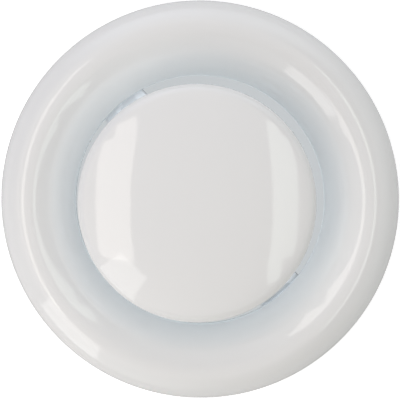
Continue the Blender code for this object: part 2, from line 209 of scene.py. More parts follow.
def makeZinc():
    look = {
        "cool": (0.62, 0.65, 0.69),
        "warm": (0.72, 0.71, 0.67),
        "tintScale": 160.0,
        "scuffScale": 1900.0,
        "roughness": (0.2, 0.42),
        "scuff": (0.12, 0.00004),
    }
    material, tree, shader = newMaterial("zincPlate")
    tint = textureOf(tree, "Noise", Scale=look["tintScale"], Detail=3.0).outputs["Fac"]
    scuff = textureOf(tree, "Noise", Scale=look["scuffScale"], Detail=4.0).outputs["Fac"]
    feedShader(
        tree, shader, Metallic=1.0, Roughness=rangeOf(tree, scuff, *look["roughness"]),
        Base_Color=colourRamp(tree, tint, [(0.3, look["cool"]), (0.7, look["warm"])]),
        Normal=bumpFrom(tree, scuff, *look["scuff"]),
    )
    return material


def makeFoam():
    look = {
        # painted shade: the darker colour in the middles of the cell pits
        "cellPitShade": (0.12, 0.12, 0.125),
        "skin": (0.25, 0.25, 0.26),
        "cellScale": 1300.0,
        "cells": (0.6, 0.0002),
        "roughness": 0.92,
        "specular": 0.25,
    }
    material, tree, shader = newMaterial("greyFoam")
    cells = textureOf(tree, "Voronoi", Scale=look["cellScale"], Randomness=1.0)
    # The cells are pits in the bump, and their middles are painted darker than the skin between
    # them: painted shade in the pits.
    depth = cells.outputs["Distance"]
    feedShader(
        tree, shader, Roughness=look["roughness"], Specular_IOR_Level=look["specular"],
        Base_Color=colourRamp(tree, depth, [(0.1, look["cellPitShade"]), (0.6, look["skin"])]),
        Normal=bumpFrom(tree, depth, *look["cells"]),
    )
    return material


def makeRubber():
    look = {
        "black": (0.022, 0.022, 0.023),
        "dusty": (0.05, 0.05, 0.05),
        "dustScale": 120.0,
        "roughness": (0.42, 0.62),
        "dust": (0.1, 0.0001),
    }
    material, tree, shader = newMaterial("blackRubber")
    dust = textureOf(tree, "Noise", Scale=look["dustScale"], Detail=5.0).outputs["Fac"]
    feedShader(
        tree, shader, Roughness=rangeOf(tree, dust, *look["roughness"]),
        Base_Color=colourRamp(tree, dust, [(0.4, look["black"]), (0.75, look["dusty"])]),
        Normal=bumpFrom(tree, dust, *look["dust"]),
    )
    return material


materials = {
    "enamel": makeEnamel(),
    "galvanised": makeGalvanised(),
    "zinc": makeZinc(),
    "foam": makeFoam(),
    "rubber": makeRubber(),
}
print("materials made")


# Shapes shared by the pieces
def arcPoints(centre, radius, start, end, steps):
    angles = [start + (end - start) * i / steps for i in range(steps + 1)]
    return [(centre[0] + radius * cos(a), centre[1] + radius * sin(a)) for a in angles]


# The path moved to its left by distance, with mitred corners.
def offsetPath(path, distance):
    moved = []
    for i, (r, z) in enumerate(path):
        back = Vector(path[i]) - Vector(path[i - 1]) if i else None
        ahead = Vector(path[i + 1]) - Vector(path[i]) if i < len(path) - 1 else None
        first = (back or ahead).normalized()
        second = (ahead or back).normalized()
        normal = Vector((-first.y - second.y, first.x + second.x)).normalized()
        # A mitre reaches no further than twice the distance.
        stretch = 1 / max(normal.dot(Vector((-first.y, first.x))), 0.5)
        moved.append((r + normal.x * distance * stretch, z + normal.y * distance * stretch))
    return moved


# A half round from start to end, on the right of the way there.
def endRound(start, end, steps=4):
    start, end = Vector(start), Vector(end)
    middle = (start + end) / 2
    half = (end - start) / 2
    side = Vector((half.y, -half.x))
    turns = [pi * i / steps for i in range(1, steps)]
    return [tuple(middle - half * cos(a) + side * sin(a)) for a in turns]


# Moves the path's end point towards its neighbour.
def trimEnd(path, end, following, length):
    tip, near = Vector(path[end]), Vector(path[following])
    path[end] = tuple(tip + (near - tip).normalized() * length)


# A closed profile of a sheet with rounded cut edges, whose one face is the path.
def sheetProfile(path, thickness):
    path = list(path)
    trimEnd(path, 0, 1, abs(thickness) / 2)
    trimEnd(path, -1, -2, abs(thickness) / 2)
    other = offsetPath(path, thickness)[::-1]
    if thickness > 0:
        return path + endRound(path[-1], other[0]) + other + endRound(other[-1], path[0])
    tip = endRound(other[0], path[-1])[::-1]
    tail = endRound(path[0], other[-1])[::-1]
    return path + tip + other + tail


# The path with each inner corner rounded to the radius.
def filletPath(path, radius, steps=5):
    rounded = [path[0]]
    for before, corner, after in zip(path, path[1:], path[2:]):
        corner = Vector(corner)
        first = (Vector(before) - corner).normalized()
        second = (Vector(after) - corner).normalized()
        reach = radius / max((first - second).length / max((first + second).length, 1e-6), 1e-6)
        start = corner + first * reach
        end = corner + second * reach
        for i in range(steps + 1):
            t = i / steps
            blend = start * (1 - t) ** 2 + corner * (2 * t * (1 - t)) + end * t**2
            rounded.append(tuple(blend))
    rounded.append(path[-1])
    return rounded


# A Geometry Nodes tree with these named inputs, and its input and output nodes.
def treeWith(name, inputs):
    tree = bpy.data.node_groups.new(name, "GeometryNodeTree")
    tree.interface.new_socket("Geometry", in_out="INPUT", socket_type="NodeSocketGeometry")
    for label, kind in inputs:
        tree.interface.new_socket(label, in_out="INPUT", socket_type="NodeSocket" + kind)
    tree.interface.new_socket("Geometry", in_out="OUTPUT", socket_type="NodeSocketGeometry")
    return tree, tree.nodes.new("NodeGroupInput"), tree.nodes.new("NodeGroupOutput")


# Sets the tree's inputs on the object, and makes the result its plain mesh.
def runTree(obj, tree, values):
    modifier = obj.modifiers.new(tree.name, "NODES")
    modifier.node_group = tree
    for item in tree.interface.items_tree:
        if item.in_out == "INPUT" and item.name in values:
            modifier[item.identifier] = values[item.name]
    graph = bpy.context.evaluated_depsgraph_get()
    mesh = bpy.data.meshes.new_from_object(obj.evaluated_get(graph))
    obj.modifiers.remove(modifier)
    obj.data = mesh
    return obj


# Makes the copies real, paints them and ends the tree.
def endTree(tree, groupIn, groupOut, geometry):
    realize = tree.nodes.new("GeometryNodeRealizeInstances")
    paint = tree.nodes.new("GeometryNodeSetMaterial")
    tree.links.new(geometry, realize.inputs["Geometry"])
    tree.links.new(realize.outputs["Geometry"], paint.inputs["Geometry"])
    tree.links.new(groupIn.outputs["Material"], paint.inputs["Material"])
    tree.links.new(paint.outputs["Geometry"], groupOut.inputs["Geometry"])


# A function that adds a maths node to the tree, fed with numbers or from other nodes.
def calculator(tree):
    def calc(operation, *values):
        node = addNode(tree, "ShaderNodeMath", operation=operation)
        for socket, value in zip(node.inputs, values):
            feed(tree, socket, value)
        return node.outputs[0]

    return calc


# Turns a closed profile once round Z.
def makeTurnTree():
    tree, groupIn, groupOut = treeWith(
        "turnProfile", [("Path Radius", "Float"), ("Steps", "Int"), ("Material", "Material")]
    )
    profile = tree.nodes.new("GeometryNodeMeshToCurve")
    circle = tree.nodes.new("GeometryNodeCurvePrimitiveCircle")
    sweep = tree.nodes.new("GeometryNodeCurveToMesh")
    weld = tree.nodes.new("GeometryNodeMergeByDistance")
    weld.inputs["Distance"].default_value = 1e-6
    link = tree.links.new
    link(groupIn.outputs["Geometry"], profile.inputs["Mesh"])
    link(groupIn.outputs["Path Radius"], circle.inputs["Radius"])
    link(groupIn.outputs["Steps"], circle.inputs["Resolution"])
    link(circle.outputs["Curve"], sweep.inputs["Curve"])
    link(profile.outputs["Curve"], sweep.inputs["Profile Curve"])
    link(sweep.outputs["Mesh"], weld.inputs["Geometry"])
    endTree(tree, groupIn, groupOut, weld.outputs["Geometry"])
    return tree


turnTree = makeTurnTree()


# Faces outwards and shades smooth, with an edge where the surface turns sharply.
def smoothOut(obj, sharp=35):
    bm = bmesh.new()
    bm.from_mesh(obj.data)
    bmesh.ops.recalc_face_normals(bm, faces=bm.faces)
    bm.to_mesh(obj.data)
    bm.free()
    obj.data.shade_smooth()
    obj.data.set_sharp_from_angle(angle=radians(sharp))
    return obj


def newObject(name, mesh):
    obj = bpy.data.objects.new(name, mesh)
    scene.collection.objects.link(obj)
    return obj


# A new piece from a bmesh, in one material.
def objectFrom(bm, name, material):
    mesh = bpy.data.meshes.new(name)
    bm.to_mesh(mesh)
    bm.free()
    mesh.materials.append(materials[material])
    return newObject(name, mesh)


# A turned piece from profile points (r, z).
def turned(name, points, material, steps=None, closed=True, sharp=35):
    pathRadius = fit["sweepRadius"]
    mesh = bpy.data.meshes.new(name)
    edges = [(i, i + 1) for i in range(len(points) - 1)]
    if closed:
        edges.append((len(points) - 1, 0))
    mesh.from_pydata([(r - pathRadius, -z, 0) for r, z in points], edges, [])
    obj = newObject(name, mesh)
    values = {
        "Path Radius": pathRadius, "Steps": steps or fit["turnSteps"],
        "Material": materials[material],
    }
    return smoothOut(runTree(obj, turnTree, values), sharp)


# Hands a finished piece to its body, and hides the nodes it stands for.
def settle(obj, body, slot, *nodes):
    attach(obj, body)
    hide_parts(*nodes)


# Cuts other pieces out of a piece and keeps its smooth shading.
def cutWith(obj, cutters, sharp=30):
    for cutter in cutters:
        modifier = obj.modifiers.new("cut", "BOOLEAN")
        modifier.operation = "DIFFERENCE"
        modifier.object = cutter
        modifier.solver = "EXACT"
    graph = bpy.context.evaluated_depsgraph_get()
    mesh = bpy.data.meshes.new_from_object(obj.evaluated_get(graph))
    obj.modifiers.clear()
    obj.data = mesh
    for cutter in cutters:
        bpy.data.objects.remove(cutter, do_unlink=True)
    mesh.shade_smooth()
    mesh.set_sharp_from_angle(angle=radians(sharp))


# Turns Z outwards at an angle round the axis, at a height.
def radialPlace(angle, z):
    turn = Matrix.Rotation(angle, 4, "Z") @ Matrix.Rotation(pi / 2, 4, "Y")
    return Matrix.Translation((0, 0, z)) @ turn


# Places read from the frame
def nodeRadius(node):
    low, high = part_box(node)
    return (high[0] - low[0]) / 2


def nodeHeights(node):
    low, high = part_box(node)
    return low[2], high[2]


def nodeMiddle(node):
    return sum(nodeHeights(node)) / 2


ring = {
    "radius": nodeRadius("front_ring"),
    "top": nodeHeights("front_ring")[1],
    "throat": 0.0512,
    "edge": 0.0117,
    "edgeStart": 1.6,         # the edge's first angle as a multiple of the hem's
    "crestRound": 0.010,
    "crestLean": radians(17),   # how far the face leans where each round ends
    "bell": 0.090,
    "bellLean": radians(20.5),
    "lipBend": 0.0025,
    "lipLean": radians(53),
    "lipDepth": 0.0022,
    "hem": 0.0022,
    "hemBend": 0.0012,
}
ring["crest"] = ring["radius"] - ring["edge"]
ring["rim"] = ring["top"] - ring["edge"]
ring["bellStart"] = ring["crest"] - ring["crestRound"] * sin(ring["crestLean"])


# The centre of a round that goes on from this point of the face, where it leans so.
def roundAfter(point, lean, radius):
    return point[0] + radius * sin(lean), point[1] - radius * cos(lean)


# The point of a round where the face leans so.
def onRound(centre, lean, radius):
    return centre[0] - radius * sin(lean), centre[1] + radius * cos(lean)


# The bell falls from the crest in a wide round, and then in a narrower one that meets the lip.
crestCentre = (ring["crest"], ring["top"] - ring["crestRound"])
bellCentre = roundAfter(
    onRound(crestCentre, ring["crestLean"], ring["crestRound"]), ring["crestLean"], ring["bell"]
)
bellEnd = onRound(bellCentre, ring["bellLean"], ring["bell"])
ring["fall"] = (bellEnd[0] - ring["throat"] - ring["lipBend"] * (1 - sin(ring["lipLean"]))) / (
    sin(ring["lipLean"]) - sin(ring["bellLean"])
)
fallCentre = roundAfter(bellEnd, ring["bellLean"], ring["fall"])
wallZ = nodeHeights("gasket")[0]


def makeFrontRing():
    hemBend, lipBend = ring["hemBend"], ring["lipBend"]
    edgeTurn = asin(hemBend / ring["edge"]) * ring["edgeStart"]
    crestTurn, bellTurn, lipTurn = (
        pi / 2 + ring[name] for name in ("crestLean", "bellLean", "lipLean")
    )
    path = [(ring["radius"] - ring["hem"], ring["rim"])]
    hemCentre = (ring["radius"] - hemBend, ring["rim"] + hemBend)
    path += arcPoints(hemCentre, hemBend, -pi / 2, 0, steps=8)
    path += arcPoints((ring["crest"], ring["rim"]), ring["edge"], edgeTurn, pi / 2, steps=28)
    path += arcPoints(crestCentre, ring["crestRound"], pi / 2, crestTurn, steps=6)[1:]
    path += arcPoints(bellCentre, ring["bell"], crestTurn, bellTurn, steps=8)[1:]
    path += arcPoints(fallCentre, ring["fall"], bellTurn, lipTurn, steps=18)[1:]
    lipCentre = roundAfter(path[-1], ring["lipLean"], lipBend)
    path += arcPoints(lipCentre, lipBend, lipTurn, pi, steps=10)[1:]
    path.append((ring["throat"], lipCentre[1] - ring["lipDepth"]))
    obj = turned("faceRing", sheetProfile(path, fit["sheet"]), "enamel", fit["faceSteps"])
    settle(obj, "valve", "enamel", "front_ring")


def makeDisc():
    disc = {
        "radius": nodeRadius("disc"),
        "lean": radians(15.3),    # of the dome's edge
        "power": 2.2,             # 2 is a round dome, and more is steeper at its edge
        "domeSteps": 24,
        "shoulder": 0.0045,
        "hem": 0.0018,
        "hemBend": 0.0012,
    }
    low, high = nodeHeights("disc")
    sheet, lean, shoulder, bend = fit["sheet"], disc["lean"], disc["shoulder"], disc["hemBend"]
    shoulderR = disc["radius"] - shoulder
    domeR = shoulderR + shoulder * sin(lean)
    drop = tan(lean) * domeR / disc["power"]
    shoulderZ = high - drop - shoulder * cos(lean)
    path = [(disc["radius"] - disc["hem"], low)]
    path += arcPoints((disc["radius"] - bend, low + bend), bend, -pi / 2, 0, steps=7)
    path += arcPoints((shoulderR, shoulderZ), shoulder, 0, pi / 2 - lean, steps=18)
    for step in range(disc["domeSteps"] - 1, -1, -1):
        share = step / disc["domeSteps"]
        path.append((domeR * share, high - drop * share**disc["power"]))
    trimEnd(path, 0, 1, sheet / 2)
    inner = offsetPath(path, sheet)
    path[-1] = (0, high)
    inner[-1] = (0, high - sheet)
    points = inner[::-1] + endRound(inner[0], path[0]) + path
    obj = turned("discShell", points, "enamel", fit["faceSteps"], closed=False)
    settle(obj, "disc", "enamel", "disc")


makeFrontRing()
makeDisc()
print("ring and disc made")


# Neck, gasket and what is riveted to them
neck = {
    "inner": 0.0565,
    "low": nodeHeights("neck")[0],
    "flareShare": 0.7,        # how far the flare goes along the bell
    "lowRound": 0.0005,
    "shank": 0.002,           # of the rivets and the pins
    "drillIn": 0.006,         # how far a drill stands out of the wall
    "drillOut": 0.002,
    "pinTurns": [90, 210, 330],
    "pinZ": nodeMiddle("bayonet_pin_1"),
    "rivetZ": nodeMiddle("bridge_rivet_1"),
    "rivetHalf": 0.005,       # from a leg's middle to its rivets
}
neck["outer"] = neck["inner"] + fit["sheet"]
neck["rivetTurn"] = asin(neck["rivetHalf"] / neck["inner"])


def pinAngles():
    return [radians(turn) for turn in neck["pinTurns"]]


def rivetAngles():
    return [side + turn for side in (0, pi) for turn in (-neck["rivetTurn"], neck["rivetTurn"])]


# A rod about Z to cut a round hole with.
def holeCutter(radius, low, high, material="zinc"):
    points = [(0, low), (radius, low), (radius, high), (0, high)]
    return turned("drill", points, material, fit["smallSteps"], closed=False)


# A cutter for a shank that goes through the neck's wall.
def shankCutter(angle, z, outer):
    hole = holeCutter(neck["shank"] + fit["gap"], neck["inner"] - neck["drillIn"], outer)
    hole.data.transform(radialPlace(angle, z))
    return hole


def neckDrills():
    outer = neck["outer"] + neck["drillOut"]
    rivets = [shankCutter(angle, neck["rivetZ"], outer) for angle in rivetAngles()]
    return rivets + [shankCutter(angle, neck["pinZ"], outer) for angle in pinAngles()]


def makeNeck():
    sheet = fit["sheet"]
    behind = sheet + fit["gap"]
    flareEnd = neck["inner"] + neck["flareShare"] * (ring["bellStart"] - neck["inner"])
    bellBack, fallBack = ring["bell"] - behind, ring["fall"] - behind
    bellTurn = pi / 2 + ring["bellLean"]
    startTurn = pi / 2 + asin((fallCentre[0] - neck["inner"]) / fallBack)
    endTurn = pi / 2 + asin((bellCentre[0] - flareEnd) / bellBack)
    flare = arcPoints(fallCentre, fallBack, startTurn, bellTurn, steps=8)
    flare += arcPoints(bellCentre, bellBack, bellTurn, endTurn, steps=4)[1:]
    path = [(neck["inner"] - sheet, neck["low"]), (neck["inner"], neck["low"] + sheet)]
    path = filletPath(path + flare[:1], neck["lowRound"], steps=4)[:-1] + flare
    obj = turned("neckTube", sheetProfile(path, -sheet), "enamel")
    cutWith(obj, neckDrills())
    settle(obj, "valve", "enamel", "neck")


def makeGasket():
    gasket = {"inset": 0.0032, "bulge": 0.0004}
    low = nodeHeights("gasket")[0]
    inner, outer = ring["crest"] + gasket["inset"], nodeRadius("gasket")
    under = ring["edge"] - fit["sheet"] - fit["gap"]
    centre = (ring["crest"], ring["rim"])
    startTurn = atan2(sqrt(under**2 - (outer - centre[0])**2), outer - centre[0])
    endTurn = atan2(sqrt(under**2 - (inner - centre[0])**2), inner - centre[0])
    bulge = gasket["bulge"]
    points = [(inner + bulge, low), (outer - bulge, low), (outer, low + bulge)]
    points += arcPoints(centre, under, startTurn, endTurn, steps=10)
    points += [(inner, low + bulge)]
    obj = turned("foamGasket", points, "foam", sharp=50)
    settle(obj, "valve", "foam", "gasket")


makeNeck()
makeGasket()
print("neck and gasket made")


# Copies of a piece made about Z, pointing outwards in even groups round the axis.
def makeRoundTree():
    tree, groupIn, groupOut = treeWith("piecesRound", [
        ("Count", "Int"), ("In A Group", "Int"), ("Group Step", "Float"), ("First Turn", "Float"),
        ("Pair Turn", "Float"), ("Height", "Float"), ("Material", "Material"),
    ])
    link, calc = tree.links.new, calculator(tree)
    points = tree.nodes.new("GeometryNodePoints")
    index = tree.nodes.new("GeometryNodeInputIndex").outputs["Index"]
    size = groupIn.outputs["In A Group"]
    group = calc("FLOOR", calc("DIVIDE", index, size))
    within = calc("SUBTRACT", index, calc("MULTIPLY", group, size))
    spread = calc("SUBTRACT", within, calc("MULTIPLY", calc("SUBTRACT", size, 1), 0.5))
    turn = calc("ADD", calc("MULTIPLY", group, groupIn.outputs["Group Step"]),
                groupIn.outputs["First Turn"])
    turn = calc("ADD", turn, calc("MULTIPLY", spread, groupIn.outputs["Pair Turn"]))
    place = tree.nodes.new("ShaderNodeCombineXYZ")
    link(groupIn.outputs["Height"], place.inputs["Z"])
    lean = tree.nodes.new("ShaderNodeCombineXYZ")
    lean.inputs["Y"].default_value = pi / 2
    link(turn, lean.inputs["Z"])
    copies = tree.nodes.new("GeometryNodeInstanceOnPoints")
    link(groupIn.outputs["Count"], points.inputs["Count"])
    link(place.outputs["Vector"], points.inputs["Position"])
    link(points.outputs["Points"], copies.inputs["Points"])
    link(groupIn.outputs["Geometry"], copies.inputs["Instance"])
    link(lean.outputs["Vector"], copies.inputs["Rotation"])
    endTree(tree, groupIn, groupOut, copies.outputs["Instances"])
    return tree


roundTree = makeRoundTree()


def makeRivets():
    rivet = {"head": 0.0035, "height": 0.001}
    inner = neck["inner"] - 2 * fit["gap"] - fit["strap"]
    outer = neck["outer"] + fit["gap"]
    dome = (rivet["head"]**2 + rivet["height"]**2) / (2 * rivet["height"])
    reach = asin(rivet["head"] / dome)
    inCentre, outCentre = (0, inner - rivet["height"] + dome), (0, outer + rivet["height"] - dome)
    points = arcPoints(inCentre, dome, -pi / 2, -pi / 2 + reach, steps=8)
    points += [(neck["shank"], inner), (neck["shank"], outer)]
    points += arcPoints(outCentre, dome, pi / 2 - reach, pi / 2, steps=8)
    points[0] = (0, points[0][1])
    points[-1] = (0, points[-1][1])
    obj = turned("bridgeRivets", points, "zinc", fit["smallSteps"], closed=False)
    runTree(obj, roundTree, {
        "Count": 4, "In A Group": 2, "Group Step": pi, "First Turn": 0.0,
        "Pair Turn": 2 * neck["rivetTurn"], "Height": neck["rivetZ"], "Material": materials["zinc"],
    })
    smoothOut(obj)
    names = [f"bridge_rivet_{i}" for i in range(1, 5)]
    settle(obj, "valve", "zinc", *names)


def makeBayonetPins():
    pin = {"radius": 0.003, "head": 0.001, "round": 0.0004, "tip": 0.0613}
    inner = neck["inner"] - fit["gap"]
    outer = neck["outer"] + fit["gap"]
    radius, edge, back = pin["radius"], pin["round"], inner - pin["head"]
    points = [(0, back), (radius - edge, back)]
    points += arcPoints((radius - edge, back + edge), edge, -pi / 2, 0, steps=4)[1:]
    points += [(radius, inner), (neck["shank"], inner), (neck["shank"], outer), (radius, outer)]
    points += arcPoints((radius - edge, pin["tip"] - edge), edge, 0, pi / 2, steps=4)
    points += [(0, pin["tip"])]
    obj = turned("bayonetPins", points, "zinc", fit["smallSteps"], closed=False)
    count = len(neck["pinTurns"])
    runTree(obj, roundTree, {
        "Count": count, "In A Group": 1, "Group Step": 2 * pi / count,
        "First Turn": pinAngles()[0], "Pair Turn": 0.0, "Height": neck["pinZ"],
        "Material": materials["zinc"],
    })
    smoothOut(obj)
    names = [f"bayonet_pin_{i + 1}" for i in range(count)]
    settle(obj, "valve", "zinc", *names)


def makeBridge():
    bridge = {
        "width": 0.020,
        "bend": 0.003,
        "stations": 14,           # cross-sections along the width
        "edgeRound": 0.0003,
        "drillMargin": 0.001,
    }
    low, high = nodeHeights("bridge")
    strapZ = low + fit["strap"]
    legRadius = neck["inner"] - fit["gap"]
    legX = legRadius - fit["strap"]
    bendX = legX - bridge["bend"]
    right = arcPoints((bendX, strapZ + bridge["bend"]), bridge["bend"], -pi / 2, 0, steps=10)
    right.append((legX, high))
    path = [(-x, z) for x, z in reversed(right)] + right
    outline = path + offsetPath(path, -fit["strap"])[::-1]
    flatEnd = bendX - bridge["bend"]
    bm = bmesh.new()
    rows = []
    for i in range(bridge["stations"] + 1):
        y = bridge["width"] * (i / bridge["stations"] - 0.5)
        sag = legRadius - sqrt(legRadius**2 - y**2)  # the legs follow the neck's wall
        row = []
        for x, z in outline:
            share = min(max((abs(x) - flatEnd) / (legX - flatEnd), 0), 1)
            shift = -sag * share if x > 0 else sag * share
            row.append(bm.verts.new((x + shift, y, z)))
        rows.append(row)
    count = len(outline)
    for row, following in zip(rows, rows[1:]):
        for j in range(count):
            bm.faces.new((row[j - 1], row[j], following[j], following[j - 1]))
    for row in (rows[0], rows[-1]):
        for j in range(count // 2 - 1):
            bm.faces.new((row[j], row[j + 1], row[count - 2 - j], row[count - 1 - j]))
    bmesh.ops.recalc_face_normals(bm, faces=bm.faces)
    obj = objectFrom(bm, "bridgeStrap", "galvanised")
    soften = obj.modifiers.new("soften", "BEVEL")
    soften.width = bridge["edgeRound"]
    soften.segments = 3
    soften.limit_method = "ANGLE"
    soften.angle_limit = radians(50)
    rivets = [shankCutter(angle, neck["rivetZ"], neck["outer"]) for angle in rivetAngles()]
    margin = bridge["drillMargin"]
    cutWith(obj, rivets + [holeCutter(fit["bore"], low - margin, strapZ + margin)])
    settle(obj, "valve", "galvanised", "bridge")


makeRivets()
makeBayonetPins()
makeBridge()
print("bridge, rivets and pins made")


# Nuts, washer and spindle
hardware = {
    "flats": 0.013,
    "hexSteps": 72,
    "chamfer": 0.0007,
    "chamferCuts": 5,
    "faceShare": 0.96,        # the turned face's width as a share of the flats
    "ease": 0.0005,           # the bore's bevel
    "washerEdge": 0.0002,
    "washerSteps": 96,
    "thread": 0.004,          # radius
    "pitch": 0.00125,
    "depth": 0.00062,
    "groove": 1.15,           # above 1, the groove has a flat floor
}


# Distance from the centre to the side of a hexagon with a corner at angle 0.
def hexRadius(angle, flats):
    side = (angle % (pi / 3)) - pi / 6
    return flats / 2 / cos(side)


# A hexagon nut, or a bolt head where bore is 0, with turned corners.
def makeHexPiece(name, low, high, bore):
    flats, chamfer, ease = hardware["flats"], hardware["chamfer"], hardware["ease"]
    face = flats / 2 * hardware["faceShare"]
    steps = hardware["hexSteps"]
    angles = [2 * pi * i / steps for i in range(steps)]
    levels = [(low, face), (low + chamfer, flats), (high - chamfer, flats), (high, face)]
    fine = []
    for (z0, r0), (z1, r1) in zip(levels, levels[1:]):
        cuts = hardware["chamferCuts"] if r0 != r1 else 1
        fine += [(z0 + (z1 - z0) * i / cuts, r0 + (r1 - r0) * i / cuts) for i in range(cuts)]
    fine.append(levels[-1])
    loops = [[(min(hexRadius(a, flats), limit), z) for a in angles] for z, limit in fine]
    if bore:
        bevel = ((bore + ease, high), (bore, high - ease), (bore, low + ease), (bore + ease, low))
        loops += [[corner] * steps for corner in bevel]
    bm = bmesh.new()
    loops = [
        [bm.verts.new((r * cos(a), r * sin(a), z)) for a, (r, z) in zip(angles, loop)]
        for loop in loops
    ]
    if bore:
        loops.append(loops[0])
    else:
        bm.faces.new(loops[0])
        bm.faces.new(loops[-1])
    for first, second in zip(loops, loops[1:]):
        for i in range(steps):
            bm.faces.new((first[i - 1], first[i], second[i], second[i - 1]))
    return smoothOut(objectFrom(bm, name, "zinc"), 20)


def makeNuts():
    for name, node, body in (
        ("strapNut", "bridge_nut", "valve"),
        ("lockNut", "lock_nut", "lock_nut"),
        ("discNut", "disc_nut", "disc"),
    ):
        low, high = nodeHeights(node)
        settle(makeHexPiece(name, low, high, fit["bore"]), body, "zinc", node)
    low, high = nodeHeights("lock_washer")
    inner, outer, edge = fit["bore"], nodeRadius("lock_washer"), hardware["washerEdge"]
    points = [
        (inner, low), (outer - edge, low), (outer, low + edge), (outer, high - edge),
        (outer - edge, high), (inner, high),
    ]
    washer = turned("lockWasher", points, "zinc", hardware["washerSteps"])
    settle(washer, "valve", "zinc", "lock_washer")


# A rod along Z whose side is pressed in by a screw thread that fades out at both ends.
def makeThreadTree():
    tree, groupIn, groupOut = treeWith("threadedRod", [
        ("Radius", "Float"), ("Low", "Float"), ("Length", "Float"), ("Pitch", "Float"),
        ("Depth", "Float"), ("Rings", "Int"), ("Steps", "Int"), ("Material", "Material"),
    ])
    link, calc = tree.links.new, calculator(tree)
    rod = tree.nodes.new("GeometryNodeMeshCylinder")
    link(groupIn.outputs["Radius"], rod.inputs["Radius"])
    link(groupIn.outputs["Length"], rod.inputs["Depth"])
    link(groupIn.outputs["Rings"], rod.inputs["Side Segments"])
    link(groupIn.outputs["Steps"], rod.inputs["Vertices"])
    where = tree.nodes.new("GeometryNodeInputPosition")
    split = tree.nodes.new("ShaderNodeSeparateXYZ")
    link(where.outputs["Position"], split.inputs["Vector"])
    x, y, z = (split.outputs[axis] for axis in "XYZ")
    half = calc("MULTIPLY", groupIn.outputs["Length"], 0.5)
    turn = calc("DIVIDE", calc("ARCTAN2", y, x), 2 * pi)
    phase = calc("FRACT", calc("SUBTRACT", calc("DIVIDE", z, groupIn.outputs["Pitch"]), turn))
    wave = calc("MULTIPLY", calc("ABSOLUTE", calc("SUBTRACT", phase, 0.5)), 2)
    shaped = calc("MINIMUM", calc("MULTIPLY", wave, hardware["groove"]), 1.0)
    toEnd = calc("SUBTRACT", half, calc("ABSOLUTE", z))
    fade = calc("MINIMUM", calc("DIVIDE", toEnd, groupIn.outputs["Pitch"]), 1.0)
    cutIn = calc("MULTIPLY", calc("MULTIPLY", shaped, groupIn.outputs["Depth"]), fade)
    share = calc("SUBTRACT", 1.0, calc("DIVIDE", cutIn, groupIn.outputs["Radius"]))
    place = tree.nodes.new("ShaderNodeCombineXYZ")
    link(calc("MULTIPLY", x, share), place.inputs["X"])
    link(calc("MULTIPLY", y, share), place.inputs["Y"])
    link(calc("ADD", calc("ADD", z, half), groupIn.outputs["Low"]), place.inputs["Z"])
    move = tree.nodes.new("GeometryNodeSetPosition")
    link(rod.outputs["Mesh"], move.inputs["Geometry"])
    link(place.outputs["Vector"], move.inputs["Position"])
    endTree(tree, groupIn, groupOut, move.outputs["Geometry"])
    return tree


def makeSpindle():
    spindle = {
        "headHeight": 0.0042,
        "intoHead": 0.0005,       # how far the rod goes into its head
        "ringsAPitch": 12,
        "steps": 40,
    }
    low, high = nodeHeights("spindle")
    headZ = high - spindle["headHeight"]
    mesh = bpy.data.meshes.new("spindleRod")
    rod = newObject("spindleRod", mesh)
    length = headZ - low + spindle["intoHead"]
    rings = ceil(length / hardware["pitch"] * spindle["ringsAPitch"])
    runTree(rod, makeThreadTree(), {
        "Radius": hardware["thread"], "Low": low, "Length": length, "Pitch": hardware["pitch"],
        "Depth": hardware["depth"], "Rings": rings, "Steps": spindle["steps"],
        "Material": materials["zinc"],
    })
    head = makeHexPiece("spindleHead", headZ, high, 0)
    bm = bmesh.new()
    bm.from_mesh(rod.data)
    bm.from_mesh(head.data)
    bm.to_mesh(rod.data)
    bm.free()
    bpy.data.objects.remove(head, do_unlink=True)
    smoothOut(rod, 40)
    settle(rod, "spindle", "zinc", "spindle")


def makeStiffener():
    stiffener = {
        "sheet": 0.0012,
        "dome": 0.187,            # radius of the round under the disc's dome
        "cup": 0.0125,
        "draft": 0.003,
        "corner": 0.0008,
    }
    under = stiffener["dome"] - fit["sheet"] - fit["gap"]
    centreZ = nodeHeights("disc")[1] - stiffener["dome"]
    cup, sheet = stiffener["cup"], stiffener["sheet"]
    cupZ = nodeHeights("disc_stiffener")[0] + sheet
    startTurn = pi / 2 - asin(nodeRadius("disc_stiffener") / under)
    endTurn = pi / 2 - asin((cup + stiffener["draft"]) / under)
    path = arcPoints((0, centreZ), under, startTurn, endTurn, steps=4)
    corners = path[-2:] + [(cup, cupZ), (fit["bore"], cupZ)]
    path = path[:-1] + filletPath(corners, stiffener["corner"], steps=6)[1:]
    obj = turned("discStiffener", sheetProfile(path, sheet), "galvanised")
    settle(obj, "disc", "galvanised", "disc_stiffener")


makeNuts()
makeSpindle()
makeStiffener()
print("nuts, spindle and stiffener made")


# Mounting sleeve and its seal
sleeve = {
    "inner": 0.0605,
    "bend": 0.0018,
    "flange": nodeRadius("mounting_sleeve"),
    "top": nodeHeights("mounting_sleeve")[1],
    "sealMiddle": 0.0125,
    "sealWidth": 0.0068,
    "beadHeight": 0.0012,
    "beadHalf": 0.0022,
    "beadCrown": 0.35,        # the flat share of a bead's width
    "beadSteps": 12,
    "screwHole": 0.00225,
    "screwCount": 4,
    "slotHalf": 0.0034,
    "twist": 20,
    "cutIn": 0.001,           # how far a cutter stands out of the sheet
    "cutOut": 0.002,
}
sleeve["outer"] = sleeve["inner"] + fit["sheet"]


